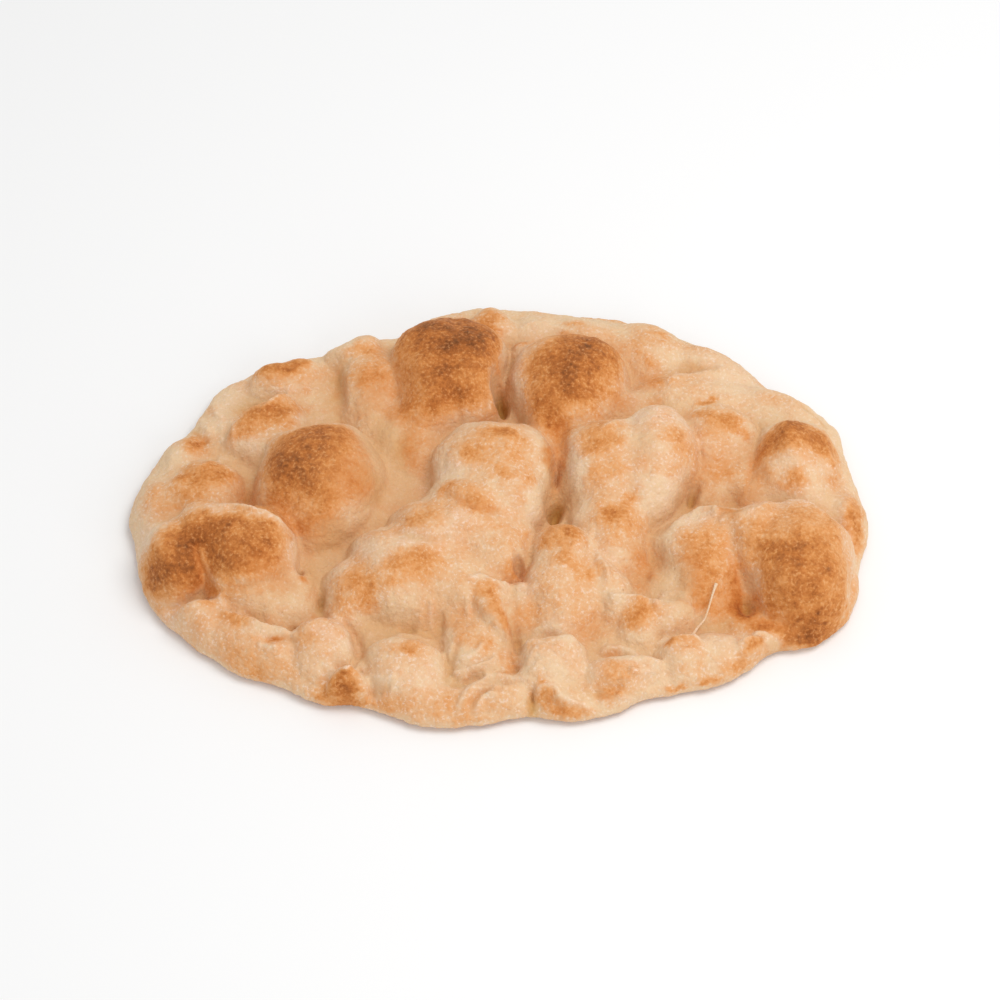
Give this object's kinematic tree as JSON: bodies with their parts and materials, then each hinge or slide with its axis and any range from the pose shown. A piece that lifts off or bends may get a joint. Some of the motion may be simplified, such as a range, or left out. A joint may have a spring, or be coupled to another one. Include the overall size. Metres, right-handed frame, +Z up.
{
  "type": "pinsa crust",
  "caption": "Oval baked flatbread base with tall browned blisters, finger hollows and a thin rounded rim, flat underneath.",
  "frame": {"origin": "on the table, under the middle of the crust's outline", "axes": "+X along the oval, +Y across it from the front rim to the back rim, +Z up"},
  "size_m": [0.299, 0.2124, 0.033],
  "materials": {
    "baked_dough": "matte, floured, baked golden with brown blister tops"
  },
  "bodies": {
    "root": {"crust": "baked_dough"}
  },
  "joints": []
}
